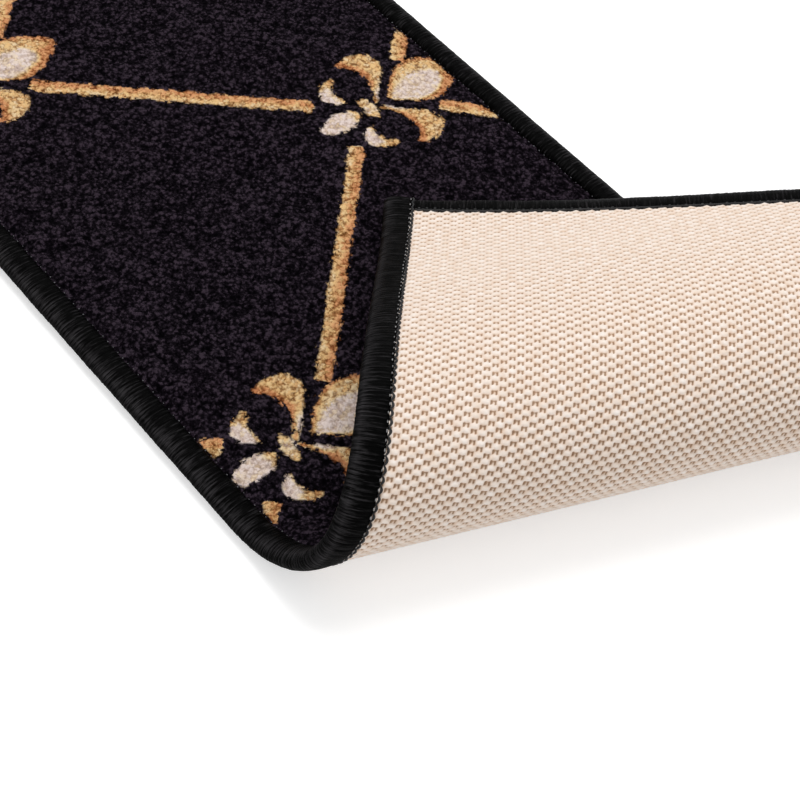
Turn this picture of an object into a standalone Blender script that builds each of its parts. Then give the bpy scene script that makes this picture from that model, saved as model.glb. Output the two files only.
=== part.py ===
"""A stair tread rug lying on its woven back, with one end turned over on the skew.

The rug is a short-pile carpet strip: a woven backing, a cut pile with a printed trellis and
lily pattern, and a yarn binding overlocked round all four edges. Each piece is first drawn
flat, as (along, across, up) from the rug's own corner, and then laid over the curl.
Metres, +Z up. The origin is under the middle of the rug's outline, on the tread.
"""
import math

import bmesh
import bpy
import numpy as np
from mathutils import Vector

# The rug laid flat, outside its binding
RUG_WIDTH = 0.216
RUG_LENGTH = 0.660
# Less than the depth of the binding's slot, so the cloth in it keeps square corners
CORNER_RADIUS = 0.0035
CORNER_STEPS = 3

# Layers, from the tread up
BACKING_THICKNESS = 0.0017
PILE_HEIGHT = 0.0042
PRINT_THICKNESS = 0.0005
CLEARANCE = 0.0003

# Weave of the backing: lengthwise yarn floats with a groove between each pair
WEAVE_PITCH = 0.0054
GROOVE_WIDTH = 0.0018
GROOVE_DEPTH = 0.0007

# Binding: a yarn roll overlocked over the edge of the carpet
BINDING_WIDTH = 0.0116
BINDING_PROUD = 0.0008
BINDING_ROUND = 0.0030
BINDING_LIP_ROUND = 0.0012
BINDING_ROUND_STEPS = 3
BINDING_LIP_STEPS = 2
EDGE_IN_BINDING = 0.0070

# The turned-over end, measured along the edge nearest the viewer
FOLDED_LENGTH = 0.2583
FOLD_ANGLE = math.radians(68.1)
TIP_CLEARANCE = 0.0008
# How the curl turns: share of its arc, and degrees it would turn over its whole arc at that rate
BEND_RATES = (
    (0.00, 0.0),
    (0.05, 420.0),
    (0.12, 395.0),
    (0.21, 505.0),
    (0.31, 470.0),
    (0.41, 355.0),
    (0.53, 110.0),
    (0.69, 18.0),
    (0.86, -68.0),
    (1.00, -340.0),
)
TIGHTNESS_RANGE = (0.7, 1.3)
TIGHTNESS_HALVINGS = 50
ARC_SAMPLES = 2000
TURN_PER_FACET = math.radians(12.0)
LONGEST_FACET = 0.035
SHARP_EDGE = math.radians(40.0)
CUT_TOLERANCE = 1e-6

# Printed pattern: lilies in two rows, joined by a diamond trellis
PATTERN_PITCH = 0.216
UPPER_ROW_SHIFT = 0.104
LILY_ROWS = (0, 1)
LILY_ROWS_AND_BELOW = (-1, *LILY_ROWS)
FIRST_LILY_ALONG = 0.1788
FIRST_LILY_ACROSS = 0.0345
UPPER_ROW_FROM_EDGE = 0.0525
TRELLIS_WIDTH = 0.0056
ARM_ABOVE = Vector((0.0175, 0.026))
ARM_BELOW = Vector((0.0150, -0.017))

# One lily, from the middle of its band
PETAL_BASE = 0.0100
PETAL_HEIGHT = 0.0360
PETAL_HALF_WIDTH = 0.0108
PETAL_BROADEST = 1.2
PETAL_FULLNESS = 0.8
CORE_HEIGHT = 0.0260
CORE_HALF_WIDTH = 0.0040
BAND_HALF_WIDTH = 0.0062
BAND_HALF_HEIGHT = 0.0021
BAND_TURN = math.radians(162.0)
STEM_HALF_WIDTH = 0.0012
CURL_ROOT = Vector((0.0012, 0.0052))
CURL_HOLLOW = Vector((0.0187, 0.0140))
CURL_TIP = Vector((0.0268, 0.0022))
CURL_SIDE = Vector((0.0330, 0.0190))
CURL_CROWN = Vector((0.0190, 0.0206))
CURL_RISE = Vector((0.0080, 0.0200))
CURL_MEETING = Vector((0.0000, 0.0082))
TAIL_TOP = Vector((0.0000, -0.0062))
TAIL_SIDE = Vector((0.0078, -0.0150))
TAIL_TIP = Vector((0.0000, -0.0240))
TAIL_NECK = Vector((0.0030, -0.0100))
SIDE_TAIL_ROOT = Vector((0.0086, -0.0094))
SIDE_TAIL_BOTTOM = Vector((0.0150, -0.0185))
SIDE_TAIL_TIP = Vector((0.0225, -0.0032))
SIDE_TAIL_HOLLOW = Vector((0.0165, -0.0085))
NECK_WIDTH = 0.0018
CURVE_STEPS = 6
PETAL_STEPS = 7

# The upper row keeps its distance from the rug's far edge
ROW_RISE = RUG_WIDTH - FIRST_LILY_ACROSS - UPPER_ROW_FROM_EDGE

# Heights of the layers over the backing's underside
BACKING_TOP = BACKING_THICKNESS
PILE_BOTTOM = BACKING_TOP + CLEARANCE
PILE_TOP = PILE_BOTTOM + PILE_HEIGHT
PRINT_BOTTOM = PILE_TOP + CLEARANCE
PRINT_TOP = PRINT_BOTTOM + PRINT_THICKNESS
BINDING_BOTTOM = -BINDING_PROUD
BINDING_TOP = PILE_TOP + BINDING_PROUD
SLOT_BOTTOM = -CLEARANCE
SLOT_TOP = BACKING_TOP + CLEARANCE
FIELD_INSET = BINDING_WIDTH + CLEARANCE
BACKING_INSET = BINDING_WIDTH - EDGE_IN_BINDING


class Curl:
    """The cross-section of the curl, as facets, and the map from the flat rug to it."""

    def __init__(self):
        self.along_fold = Vector((math.cos(FOLD_ANGLE), math.sin(FOLD_ANGLE)))
        self.over_fold = Vector((math.sin(FOLD_ANGLE), -math.cos(FOLD_ANGLE)))
        self.start = RUG_LENGTH - FOLDED_LENGTH
        self.arc = FOLDED_LENGTH * math.sin(FOLD_ANGLE)
        self.facets = self.cut_facets(self.settle())

    def section(self, tightness):
        """Arc length, turn, and the place of the backing's underside along the curl."""
        share = np.linspace(0.0, 1.0, ARC_SAMPLES)
        rate = np.interp(share, [b[0] for b in BEND_RATES], [math.radians(b[1]) for b in BEND_RATES])
        rate = np.where(rate > 0.0, rate * tightness, rate)
        step = share[1]
        turn = np.concatenate([[0.0], np.cumsum((rate[1:] + rate[:-1]) * step / 2)])
        run = np.concatenate([[0.0], np.cumsum(np.cos((turn[1:] + turn[:-1]) / 2) * step)])
        rise = np.concatenate([[0.0], np.cumsum(np.sin((turn[1:] + turn[:-1]) / 2) * step)])
        return share * self.arc, turn, run * self.arc, rise * self.arc

    def tip_room(self, section):
        """Room between the flap's binding and the pile of the strip under it."""
        _, turn, _, rise = section
        flap_side = rise + BINDING_TOP * np.cos(turn)
        return float(flap_side[turn > math.pi / 2].min()) - PRINT_TOP - TIP_CLEARANCE

    def settle(self):
        """The curl whose tip just clears the pile: a tighter curl brings its tip lower."""
        loose, tight = TIGHTNESS_RANGE
        for _ in range(TIGHTNESS_HALVINGS):
            middle = (loose + tight) / 2
            if self.tip_room(self.section(middle)) > 0.0:
                loose = middle
            else:
                tight = middle
        return self.section(loose)

    def cut_facets(self, section):
        """Stations that split the curl into flat facets, each turning by the same amount."""
        arc, turn, run, rise = section
        cost = np.abs(np.diff(turn)) / TURN_PER_FACET + np.diff(arc) / LONGEST_FACET
        spent = np.concatenate([[0.0], np.cumsum(cost)])
        count = math.ceil(spent[-1])
        at = np.interp(np.linspace(0.0, spent[-1], count + 1), spent, arc)
        return [(s, *(float(np.interp(s, arc, values)) for values in (turn, run, rise))) for s in at]

    def over(self, along, across):
        """How far a flat point lies past the line where the curl starts."""
        return (along - self.start) * self.over_fold.x + across * self.over_fold.y

    def place(self, point):
        """Where a point of the flat rug comes to lie."""
        along, across, up = point
        past = self.over(along, across)
        if past <= 0.0:
            return Vector((along, across, up))
        last = len(self.facets) - 1
        index = next((i for i in range(1, last) if self.facets[i][0] >= past), last)
        low, high = self.facets[index - 1], self.facets[index]
        share = (past - low[0]) / (high[0] - low[0])
        ends = []
        for _, turn, run, rise in (low, high):
            ends.append(Vector((run - up * math.sin(turn), rise + up * math.cos(turn))))
        run, rise = ends[0].lerp(ends[1], share)
        slide = (along - self.start) * self.along_fold.x + across * self.along_fold.y
        flat = self.along_fold * slide + self.over_fold * run
        return Vector((self.start + flat.x, flat.y, rise))


def paint(name, colour, roughness):
    """A plain fabric material with the piece's own colour."""
    material = bpy.data.materials.new(name)
    material.use_nodes = True
    shader = material.node_tree.nodes["Principled BSDF"]
    shader.inputs["Base Color"].default_value = (*colour, 1.0)
    shader.inputs["Roughness"].default_value = roughness
    shader.inputs["Metallic"].default_value = 0.0
    return material


def prism(bm, outline, bottom, top):
    """A closed solid between two heights, from an outline that runs anticlockwise; its caps."""
    low = [bm.verts.new((*p, bottom)) for p in outline]
    high = [bm.verts.new((*p, top)) for p in outline]
    for i in range(len(outline)):
        j = (i + 1) % len(outline)
        bm.faces.new((low[i], low[j], high[j], high[i]))
    return [bm.faces.new(list(reversed(low))), bm.faces.new(high)]


def lay(name, bm, curl, material):
    """Splits a flat solid at the facets' lines, lays it over the curl and keeps it as an object."""
    normal = Vector((*curl.over_fold, 0.0))
    for station in curl.facets[:-1]:
        point = Vector((curl.start, 0.0, 0.0)) + normal * station[0]
        bmesh.ops.bisect_plane(
            bm,
            geom=bm.verts[:] + bm.edges[:] + bm.faces[:],
            dist=CUT_TOLERANCE,
            plane_co=point,
            plane_no=normal,
        )
    for vert in bm.verts:
        vert.co = curl.place(vert.co)
    bmesh.ops.triangulate(bm, faces=bm.faces[:])
    mesh = bpy.data.meshes.new(name)
    bm.to_mesh(mesh)
    bm.free()
    mesh.materials.append(material)
    mesh.shade_smooth()
    mesh.set_sharp_from_angle(angle=SHARP_EDGE)
    piece = bpy.data.objects.new(name, mesh)
    bpy.context.collection.objects.link(piece)
    return piece


def field_outline(inset):
    """The rug's rectangle, brought in by the same amount on each side."""
    far_along, far_across = RUG_LENGTH - inset, RUG_WIDTH - inset
    return [(inset, inset), (far_along, inset), (far_along, far_across), (inset, far_across)]


def clip(outline, inset):
    """The part of an outline that lies inside the rug's rectangle less an inset."""
    sides = ((0, 1, inset), (0, -1, inset - RUG_LENGTH), (1, 1, inset), (1, -1, inset - RUG_WIDTH))
    for axis, sign, limit in sides:
        kept = []
        for i, point in enumerate(outline):
            before = outline[i - 1]
            depth, depth_before = point[axis] * sign - limit, before[axis] * sign - limit
            if (depth > 0.0) != (depth_before > 0.0):
                share = depth_before / (depth_before - depth)
                kept.append(tuple(a + (b - a) * share for a, b in zip(before, point)))
            if depth > 0.0:
                kept.append(tuple(point))
        outline = kept
    return outline


def area(outline):
    """The signed area of an outline, positive when it runs anticlockwise."""
    pairs = zip(outline, outline[1:] + outline[:1])
    return sum(a[0] * b[1] - b[0] * a[1] for a, b in pairs) / 2


def bend_through(start, pull, end, steps):
    """Points of a quadratic curve, without its last one."""
    points = []
    for i in range(steps):
        t = i / steps
        points.append(start * (1 - t) ** 2 + pull * (2 * t * (1 - t)) + end * t**2)
    return points


def leaf(base, height, half_width):
    """A leaf that is pointed at its base and broad towards its other end, as seen along +Y."""
    points = []
    for side in (1, -1):
        for i in range(PETAL_STEPS):
            share = i / PETAL_STEPS if side > 0 else 1 - i / PETAL_STEPS
            swell = math.sin(math.pi * share**PETAL_BROADEST) if share > 0 else 0.0
            width = half_width * max(swell, 0.0) ** PETAL_FULLNESS
            points.append(Vector((side * width, base + height * share)))
    return points


def petal_rim():
    """The upper petal round its pale core, open at the base."""
    outer = leaf(PETAL_BASE, PETAL_HEIGHT, PETAL_HALF_WIDTH)[1:]
    spare = 2 * CLEARANCE
    hole = leaf(PETAL_BASE - spare, CORE_HEIGHT + 2 * spare, CORE_HALF_WIDTH + spare)[1:]
    return outer + list(reversed(hole))


def both_halves(right):
    """A whole outline from its right half, which starts and ends on the lily's middle line."""
    left = [Vector((-p.x, p.y)) for p in reversed(right[1:-1])]
    return right + left


def curls_and_band():
    """The two side petals, which rise from the middle and turn down, and the band below them."""
    right = []
    for i in range(CURVE_STEPS):
        turn = BAND_TURN * i / (CURVE_STEPS - 1) - math.pi / 2
        right.append(Vector((BAND_HALF_WIDTH * math.cos(turn), BAND_HALF_HEIGHT * math.sin(turn))))
    right[0].x = 0.0
    right.append(Vector((STEM_HALF_WIDTH, BAND_HALF_HEIGHT)))
    right += bend_through(CURL_ROOT, CURL_HOLLOW, CURL_TIP, CURVE_STEPS)
    right += bend_through(CURL_TIP, CURL_SIDE, CURL_CROWN, CURVE_STEPS)
    right += bend_through(CURL_CROWN, CURL_RISE, CURL_MEETING, CURVE_STEPS)
    right.append(CURL_MEETING)
    return both_halves(right)


def tails():
    """The middle tail, and the two side tails with their tips turned up."""
    right = bend_through(TAIL_TIP, TAIL_SIDE, TAIL_NECK, CURVE_STEPS)
    right.append(TAIL_NECK)
    right += bend_through(SIDE_TAIL_ROOT, SIDE_TAIL_BOTTOM, SIDE_TAIL_TIP, CURVE_STEPS)
    neck_top = SIDE_TAIL_ROOT + Vector((0.0, NECK_WIDTH))
    right += bend_through(SIDE_TAIL_TIP, SIDE_TAIL_HOLLOW, neck_top, CURVE_STEPS)
    right.append(neck_top)
    right.append(TAIL_NECK + Vector((0.0, NECK_WIDTH)))
    right.append(TAIL_TOP)
    return both_halves(right)


def lily_centre(row, number):
    """The middle of a lily's band: rows are numbered across the rug, lilies along it."""
    shift = UPPER_ROW_SHIFT if row % 2 else 0.0
    along = FIRST_LILY_ALONG + number * PATTERN_PITCH + shift
    return Vector((along, FIRST_LILY_ACROSS + row * ROW_RISE))


def lily_numbers():
    """Numbers of the lilies in a row that can reach the rug, with one spare at each end."""
    first = math.floor(-FIRST_LILY_ALONG / PATTERN_PITCH) - 1
    last = math.ceil((RUG_LENGTH - FIRST_LILY_ALONG) / PATTERN_PITCH) + 1
    return range(first, last + 1)


def shown_lilies():
    """The middles of the lilies that show all but a petal's or a tail's tip inside the binding."""
    centres = [lily_centre(row, number) for row in LILY_ROWS for number in lily_numbers()]
    reach, above, below = CURL_SIDE.x, PETAL_BASE + CORE_HEIGHT + TRELLIS_WIDTH / 4, -SIDE_TAIL_BOTTOM.y
    far_along, far_across = RUG_LENGTH - FIELD_INSET - reach, RUG_WIDTH - FIELD_INSET - above
    return [
        c
        for c in centres
        if FIELD_INSET + reach < c.x < far_along and FIELD_INSET + below < c.y < far_across
    ]


def trellis_bars():
    """Centre lines of the bars between lilies, from the row below the rug to the row above it."""
    bars = []
    for row in LILY_ROWS_AND_BELOW:
        to_right = PATTERN_PITCH - UPPER_ROW_SHIFT if row % 2 else UPPER_ROW_SHIFT
        for number in lily_numbers():
            centre = lily_centre(row, number)
            for side, reach in ((1, to_right), (-1, to_right - PATTERN_PITCH)):
                above = centre + Vector((reach, ROW_RISE))
                start = centre + Vector((side * ARM_ABOVE.x, ARM_ABOVE.y))
                bars.append((start, above + Vector((-side * ARM_BELOW.x, ARM_BELOW.y))))
    return bars


def bar_outline(start, end):
    """A straight bar with a blunt point at each end."""
    way = (end - start).normalized()
    aside = Vector((-way.y, way.x)) * TRELLIS_WIDTH / 2
    point = way * TRELLIS_WIDTH / 2
    return [start - aside, end - aside, end + point, end + aside, start + aside, start - point]


def print_field(name, outline, curl, material):
    """A printed field on the pile, cut off where the binding covers it; None if none of it shows."""
    seen = clip(outline, FIELD_INSET)
    if len(seen) < 3 or abs(area(seen)) < TRELLIS_WIDTH**2 / 4:
        return None
    bm = bmesh.new()
    caps = prism(bm, seen, PRINT_BOTTOM, PRINT_TOP)
    # A hollow outline is cut cleanly only once it is in triangles, and those need its normals
    bm.normal_update()
    bmesh.ops.triangulate(bm, faces=caps)
    return lay(name, bm, curl, material)


def corner_arcs():
    """The rug's four corners, anticlockwise: each arc's centre and the angle where it starts."""
    far_along, far_across = RUG_LENGTH - CORNER_RADIUS, RUG_WIDTH - CORNER_RADIUS
    return (
        (Vector((far_along, CORNER_RADIUS)), -math.pi / 2),
        (Vector((far_along, far_across)), 0.0),
        (Vector((CORNER_RADIUS, far_across)), math.pi / 2),
        (Vector((CORNER_RADIUS, CORNER_RADIUS)), math.pi),
    )


def make_backing(curl):
    """The woven back: one cloth with a groove between each two columns of yarn floats."""
    low, high = BACKING_INSET, RUG_WIDTH - BACKING_INSET
    field = RUG_WIDTH - 2 * FIELD_INSET
    count = int((field - GROOVE_WIDTH) / WEAVE_PITCH)
    first = RUG_WIDTH / 2 - count * WEAVE_PITCH / 2
    section = [(low, BACKING_TOP), (low, 0.0)]
    for i in range(count + 1):
        middle = first + i * WEAVE_PITCH
        section.append((middle - GROOVE_WIDTH / 2, 0.0))
        section.append((middle, GROOVE_DEPTH))
        section.append((middle + GROOVE_WIDTH / 2, 0.0))
    section += [(high, 0.0), (high, BACKING_TOP)]
    bm = bmesh.new()
    start = [bm.verts.new((BACKING_INSET, across, up)) for across, up in section]
    end = [bm.verts.new((RUG_LENGTH - BACKING_INSET, across, up)) for across, up in section]
    bm.faces.new(list(reversed(start)))
    bm.faces.new(end)
    for i in range(len(section)):
        j = (i + 1) % len(section)
        bm.faces.new((start[i], start[j], end[j], end[i]))
    bmesh.ops.recalc_face_normals(bm, faces=bm.faces[:])
    return lay("woven_backing", bm, curl, paint("backing_yarn", (0.74, 0.58, 0.46), 0.9))


def make_pile(curl):
    """The cut pile inside the binding."""
    bm = bmesh.new()
    prism(bm, field_outline(FIELD_INSET), PILE_BOTTOM, PILE_TOP)
    return lay("pile_face", bm, curl, paint("dark_pile", (0.012, 0.007, 0.012), 0.95))


def arc_points(centre, radius, start, steps):
    """A quarter turn anticlockwise round a centre, from a start angle."""
    points = []
    for i in range(steps + 1):
        angle = start + math.pi / 2 * i / steps
        points.append((centre[0] + radius * math.cos(angle), centre[1] + radius * math.sin(angle)))
    return points


def binding_section():
    """The binding's section as (inward, up): a round roll with a slot for the carpet's edge."""
    lip, roll = BINDING_LIP_ROUND, BINDING_ROUND
    section = [(BINDING_WIDTH, SLOT_TOP)]
    section += arc_points((BINDING_WIDTH - lip, BINDING_TOP - lip), lip, 0.0, BINDING_LIP_STEPS)
    section += arc_points((roll, BINDING_TOP - roll), roll, math.pi / 2, BINDING_ROUND_STEPS)
    section += arc_points((roll, BINDING_BOTTOM + roll), roll, math.pi, BINDING_ROUND_STEPS)
    section += [(BINDING_WIDTH, BINDING_BOTTOM), (BINDING_WIDTH, SLOT_BOTTOM)]
    section += [(BACKING_INSET - CLEARANCE, SLOT_BOTTOM), (BACKING_INSET - CLEARANCE, SLOT_TOP)]
    return section


def make_binding(curl):
    """The overlocked yarn roll: swept round the rug's outline, and mitred inside its corners."""
    section = binding_section()
    bm = bmesh.new()
    rings = []
    for centre, start in corner_arcs():
        middle = start + math.pi / 4
        mitre = Vector((math.cos(middle), math.sin(middle))) * math.sqrt(2.0)
        inner = {}
        for j, (inward, up) in enumerate(section):
            if inward >= CORNER_RADIUS:
                spot = centre - mitre * (inward - CORNER_RADIUS)
                inner[j] = bm.verts.new((spot.x, spot.y, up))
        for i in range(CORNER_STEPS + 1):
            angle = start + math.pi / 2 * i / CORNER_STEPS
            out = Vector((math.cos(angle), math.sin(angle)))
            ring = []
            for j, (inward, up) in enumerate(section):
                spot = centre + out * (CORNER_RADIUS - inward)
                ring.append(inner.get(j) or bm.verts.new((spot.x, spot.y, up)))
            rings.append(ring)
    for i, ring in enumerate(rings):
        after = rings[(i + 1) % len(rings)]
        for j in range(len(section)):
            k = (j + 1) % len(section)
            corners = list(dict.fromkeys((ring[j], ring[k], after[k], after[j])))
            if len(corners) > 2:
                bm.faces.new(corners)
    bmesh.ops.recalc_face_normals(bm, faces=bm.faces[:])
    return lay("edge_binding", bm, curl, paint("binding_yarn", (0.006, 0.006, 0.007), 0.7))


def make_prints(curl):
    """The printed fields: the trellis bars, and each lily's petal, core, curls and tails."""
    gold = paint("gold_print", (0.43, 0.23, 0.10), 0.9)
    ivory = paint("ivory_print", (0.52, 0.42, 0.37), 0.9)
    fields = []
    for start, end in trellis_bars():
        fields.append(("trellis_bar", bar_outline(start, end), gold))
    shapes = (
        ("lily_petal", petal_rim(), gold),
        ("lily_core", leaf(PETAL_BASE, CORE_HEIGHT, CORE_HALF_WIDTH), ivory),
        ("lily_curls", curls_and_band(), gold),
        ("lily_tails", tails(), ivory),
    )
    for centre in shown_lilies():
        for kind, outline, colour in shapes:
            fields.append((kind, [centre + p for p in outline], colour))
    pieces = []
    counts = {}
    for kind, outline, colour in fields:
        number = counts.get(kind, 0) + 1
        piece = print_field(f"{kind}_{number}", outline, curl, colour)
        if piece is not None:
            counts[kind] = number
            pieces.append(piece)
    return pieces


def centre_on_tread(pieces):
    """Puts the origin under the middle of the rug's outline, at its lowest point."""
    corners = np.array([v.co for piece in pieces for v in piece.data.vertices])
    low, high = corners.min(axis=0), corners.max(axis=0)
    shift = Vector((-(low[0] + high[0]) / 2, -(low[1] + high[1]) / 2, -low[2]))
    for piece in pieces:
        piece.location = shift


def main():
    for old in list(bpy.data.objects):
        bpy.data.objects.remove(old, do_unlink=True)
    curl = Curl()
    pieces = [make_backing(curl), make_pile(curl), make_binding(curl), *make_prints(curl)]
    centre_on_tread(pieces)


main()
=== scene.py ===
"""The looks of a stair tread rug: printed cut pile, woven back, overlocked edge and its stitches.

Each piece is first shaped flat, as (along, across, up) in metres from the rug's own corner, and
then laid over the same curl as the CAD model, as a smooth bend. MuJoCo keeps the CAD's solids.
"""
import math
from collections import namedtuple

import bmesh
import bpy
import numpy as np
from mathutils import Matrix, Vector


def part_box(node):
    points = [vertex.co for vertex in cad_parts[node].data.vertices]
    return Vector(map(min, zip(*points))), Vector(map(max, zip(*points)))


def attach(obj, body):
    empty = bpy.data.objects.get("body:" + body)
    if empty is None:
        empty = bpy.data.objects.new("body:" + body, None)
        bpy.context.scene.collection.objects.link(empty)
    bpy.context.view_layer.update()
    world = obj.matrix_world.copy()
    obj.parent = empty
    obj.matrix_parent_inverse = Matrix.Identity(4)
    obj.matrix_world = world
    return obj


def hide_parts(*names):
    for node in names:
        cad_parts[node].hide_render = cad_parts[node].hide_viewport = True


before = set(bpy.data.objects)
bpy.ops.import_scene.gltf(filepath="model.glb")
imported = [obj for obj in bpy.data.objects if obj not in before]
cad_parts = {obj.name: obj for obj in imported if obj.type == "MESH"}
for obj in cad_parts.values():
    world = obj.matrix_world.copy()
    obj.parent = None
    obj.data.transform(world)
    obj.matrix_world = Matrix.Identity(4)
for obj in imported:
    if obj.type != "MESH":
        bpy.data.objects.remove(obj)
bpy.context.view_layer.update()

MM = 0.001
RNG = np.random.default_rng(12)

# The rug laid flat, as in the CAD model
RUG_WIDTH = 0.216
RUG_LENGTH = 0.660
CORNER_RADIUS = 0.0035
BINDING_WIDTH = 0.0116
BINDING_BOTTOM = -0.0008
BINDING_TOP = 0.0070
BACKING_TOP = 0.0018
PILE_BOTTOM = 0.0020
PILE_TOP = 0.0062
PRINT_TOP = 0.0070

# The turned-over end and how it bends: share of its arc, degrees over the whole arc
FOLDED_LENGTH = 0.2583
FOLD_ANGLE = math.radians(68.1)
TIP_CLEARANCE = 0.0008
BEND_RATES = (
    (0.00, 0.0),
    (0.05, 420.0),
    (0.12, 395.0),
    (0.21, 505.0),
    (0.31, 470.0),
    (0.41, 355.0),
    (0.53, 110.0),
    (0.69, 18.0),
    (0.86, -68.0),
    (1.00, -340.0),
)
BEND_SHARES, BEND_DEGREES = np.array(BEND_RATES).T
TIGHTNESS_RANGE = (0.7, 1.3)
TIGHTNESS_HALVINGS = 50
ARC_SAMPLES = 2000
CURL_START = RUG_LENGTH - FOLDED_LENGTH
ARC = FOLDED_LENGTH * math.sin(FOLD_ANGLE)
ALONG_FOLD = np.array((math.cos(FOLD_ANGLE), math.sin(FOLD_ANGLE)))
OVER_FOLD = np.array((math.sin(FOLD_ANGLE), -math.cos(FOLD_ANGLE)))
# The rug's own corner in the part's frame: the binding's low corner is at its outer edge
SHIFT = np.array(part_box("edge_binding")[0]) - np.array((0.0, 0.0, BINDING_BOTTOM))

# Where the pile and the back end, under the binding, and the step of the sheets inside the rug
TUCK = 0.0096
UNDERLAY_STEP = 0.006


def curl_section(tightness):
    """Arc length, turn, and the place of the backing's underside along the curl."""
    share = np.linspace(0.0, 1.0, ARC_SAMPLES)
    rate = np.interp(share, BEND_SHARES, np.radians(BEND_DEGREES))
    rate = np.where(rate > 0.0, rate * tightness, rate)
    step = share[1]
    turn = np.concatenate([[0.0], np.cumsum((rate[1:] + rate[:-1]) * step / 2)])
    run = np.concatenate([[0.0], np.cumsum(np.cos((turn[1:] + turn[:-1]) / 2) * step)])
    rise = np.concatenate([[0.0], np.cumsum(np.sin((turn[1:] + turn[:-1]) / 2) * step)])
    return share * ARC, turn, run * ARC, rise * ARC


def settled_section():
    """The curl whose tip just clears the pile, found as in the CAD model."""
    loose, tight = TIGHTNESS_RANGE
    for _ in range(TIGHTNESS_HALVINGS):
        middle = (loose + tight) / 2
        _, turn, _, rise = curl_section(middle)
        flap_side = rise + BINDING_TOP * np.cos(turn)
        if flap_side[turn > math.pi / 2].min() - PRINT_TOP - TIP_CLEARANCE > 0.0:
            loose = middle
        else:
            tight = middle
    return curl_section(loose)


SECTION = settled_section()


def past_fold(flat):
    """How far points of the flat rug lie past the line where the curl starts."""
    return (flat[:, 0] - CURL_START) * OVER_FOLD[0] + flat[:, 1] * OVER_FOLD[1]


def lay(flat):
    """Where points of the flat rug come to lie in the part's frame."""
    arc, turn, run, rise = SECTION
    past, up = past_fold(flat), flat[:, 2]
    slide = (flat[:, 0] - CURL_START) * ALONG_FOLD[0] + flat[:, 1] * ALONG_FOLD[1]
    angle = np.interp(past, arc, turn)
    reach = np.where(past > 0.0, np.interp(past, arc, run), past) - up * np.sin(angle)
    height = np.interp(past, arc, rise) + up * np.cos(angle)
    x = CURL_START + ALONG_FOLD[0] * slide + OVER_FOLD[0] * reach
    y = ALONG_FOLD[1] * slide + OVER_FOLD[1] * reach
    return np.stack([x, y, height], axis=1) + SHIFT


def make_piece(name, flat, faces, material, attributes=()):
    """An object from flat points and faces, laid over the curl.

    Its flat places, and any other values of its points, are kept for the material.
    """
    mesh = bpy.data.meshes.new(name)
    mesh.from_pydata(lay(flat).tolist(), [], faces)
    mesh.validate()
    for key, values in (("flat", flat / MM), *attributes):
        kind, field = ("FLOAT_VECTOR", "vector") if values.ndim == 2 else ("FLOAT", "value")
        slot = mesh.attributes.new(key, kind, "POINT")
        slot.data.foreach_set(field, values.astype(np.float32).ravel())
    bm = bmesh.new()
    bm.from_mesh(mesh)
    bmesh.ops.recalc_face_normals(bm, faces=bm.faces[:])
    bm.to_mesh(mesh)
    bm.free()
    mesh.shade_smooth()
    mesh.materials.append(material)
    piece = bpy.data.objects.new(name, mesh)
    bpy.context.scene.collection.objects.link(piece)
    return piece


class Grid:
    """A grid of points over the flat rug, row after row along it, numbered from a first one."""

    def __init__(self, alongs, acrosses, up, first=0):
        a, b = np.meshgrid(alongs, acrosses, indexing="ij")
        self.points = np.stack([a.ravel(), b.ravel(), np.broadcast_to(up, a.shape).ravel()], axis=1)
        self.number = np.arange(a.size).reshape(a.shape) + first

    def faces(self):
        """The quads between its points."""
        n = self.number
        corners = (n[:-1, :-1], n[1:, :-1], n[1:, 1:], n[:-1, 1:])
        return np.stack(corners, axis=-1).reshape(-1, 4).tolist()

    def sides(self):
        """Its four sides, as the numbers of their points: low and high along, low and high across."""
        n = self.number
        return [side.tolist() for side in (n[0], n[-1], n[:, 0], n[:, -1])]


def zip_lines(one, two, places):
    """Triangles between two rows of points, which both run the way their places grow."""
    faces = []
    i, j = 0, 0
    while i < len(one) - 1 or j < len(two) - 1:
        step_one = places[one[i + 1]] if i < len(one) - 1 else math.inf
        step_two = places[two[j + 1]] if j < len(two) - 1 else math.inf
        if step_one <= step_two:
            faces.append((one[i], one[i + 1], two[j]))
            i += 1
        else:
            faces.append((two[j + 1], two[j], one[i]))
            j += 1
    return faces


def close_slab(points, fine, coarse):
    """Triangles that join the sides of two grids that lie over each other."""
    faces = []
    for side, (one, two) in enumerate(zip(fine, coarse)):
        runs_across = side < 2
        faces += zip_lines(one, two, points[:, 1 if runs_across else 0])
    return faces


def spaced(low, high, step):
    """Evenly spaced values from low to high, about a step apart."""
    return np.linspace(low, high, max(2, round((high - low) / step) + 1))


def smooth(values, low, high):
    """Goes smoothly from 0 at low to 1 at high."""
    t = np.clip((values - low) / (high - low), 0.0, 1.0)
    return t * t * (3.0 - 2.0 * t)


def between(low, high, share):
    """A value that goes from low to high with its share."""
    return low + (high - low) * share


def edge_distance(flat):
    """How far points lie inside the rug's outline."""
    from_low = np.minimum(flat[:, 0], flat[:, 1])
    return np.minimum(from_low, np.minimum(RUG_LENGTH - flat[:, 0], RUG_WIDTH - flat[:, 1]))


# The print, in millimetres: lilies in rows, joined by a diamond trellis
PATTERN_PITCH = 216.0
UPPER_ROW_SHIFT = 104.0
FIRST_LILY = np.array((178.8, 34.5))
ROW_RISE = 129.0
LILY_ROWS = (-1, 0, 1, 2)
LILY_NUMBERS = range(-2, 4)
BAR_HALF_WIDTH = 2.95
BAR_TAPER = 0.8
# How wide a bar still is at its ends, as a share of its middle
BAR_END_SHARE = 0.6
# Where a bar starts over a lily and ends under the next one, to the left and the right of each
ARM_ABOVE = {-1: np.array((-15.4, 27.3)), 1: np.array((15.8, 25.0))}
ARM_BELOW = {-1: np.array((-13.8, -18.6)), 1: np.array((14.1, -18.2))}

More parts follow.
